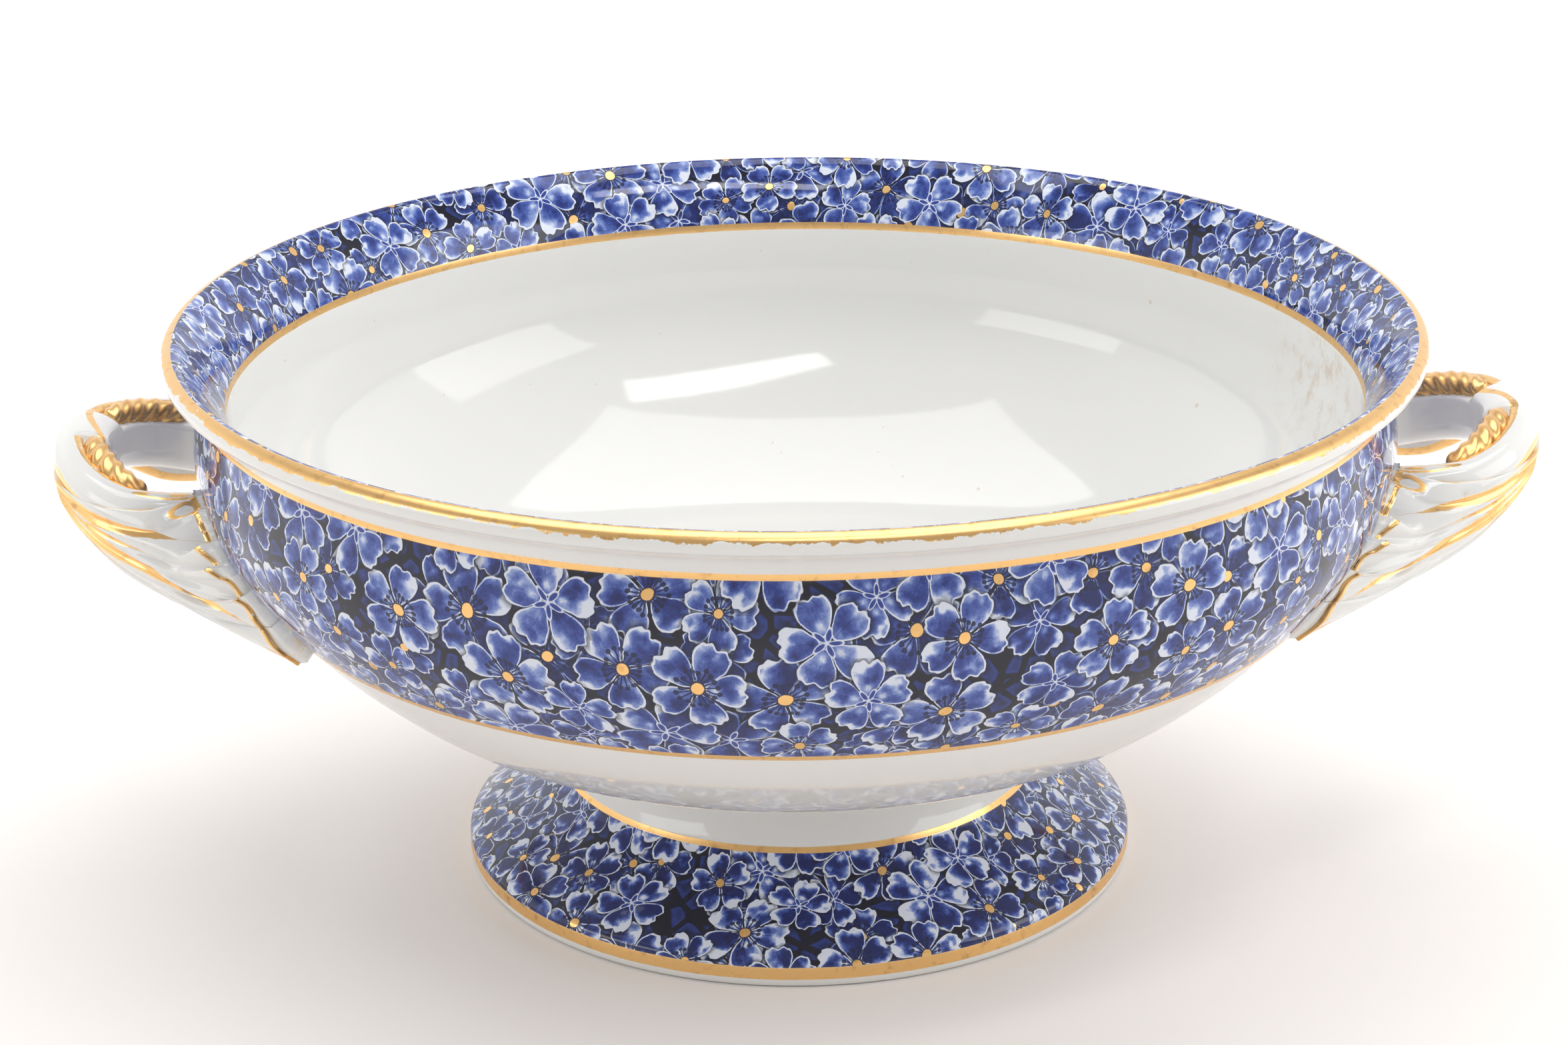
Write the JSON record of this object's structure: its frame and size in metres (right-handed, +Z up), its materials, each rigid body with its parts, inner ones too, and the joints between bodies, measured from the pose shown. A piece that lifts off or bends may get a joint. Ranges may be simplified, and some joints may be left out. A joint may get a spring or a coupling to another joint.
{
  "type": "footed porcelain serving bowl",
  "caption": "Round footed porcelain serving bowl with a flared gilded rim, acanthus loop handles and a blue blossom print.",
  "frame": {"origin": "centre of the resting ring, on the surface that the bowl stands on", "axes": "+Z up along the bowl's axis of turning, +X out through the right handle, -Y towards the front"},
  "size_m": [0.3348, 0.28, 0.1283],
  "materials": {
    "printed_porcelain": "white glazed porcelain with a dense underglaze blue blossom print and gilt lines",
    "white_porcelain": "clear glossy glaze over white porcelain, with gilt veins and edges",
    "gilding": "burnished gold over glazed porcelain",
    "luting_slip": "fired porcelain slip, half matt"
  },
  "bodies": {
    "root": {"bowl_body": "printed_porcelain", "pedestal_foot": "printed_porcelain", "foot_slip_joint": "luting_slip", "right_handle_loop": "white_porcelain", "right_handle_front_leaf": "white_porcelain", "right_handle_front_rope_twist": "gilding", "right_handle_front_slip_joint": "luting_slip", "right_handle_back_leaf": "white_porcelain", "right_handle_back_rope_twist": "gilding", "right_handle_back_slip_joint": "luting_slip", "left_handle_loop": "white_porcelain", "left_handle_front_leaf": "white_porcelain", "left_handle_front_rope_twist": "gilding", "left_handle_front_slip_joint": "luting_slip", "left_handle_back_leaf": "white_porcelain", "left_handle_back_rope_twist": "gilding", "left_handle_back_slip_joint": "luting_slip"}
  },
  "joints": []
}
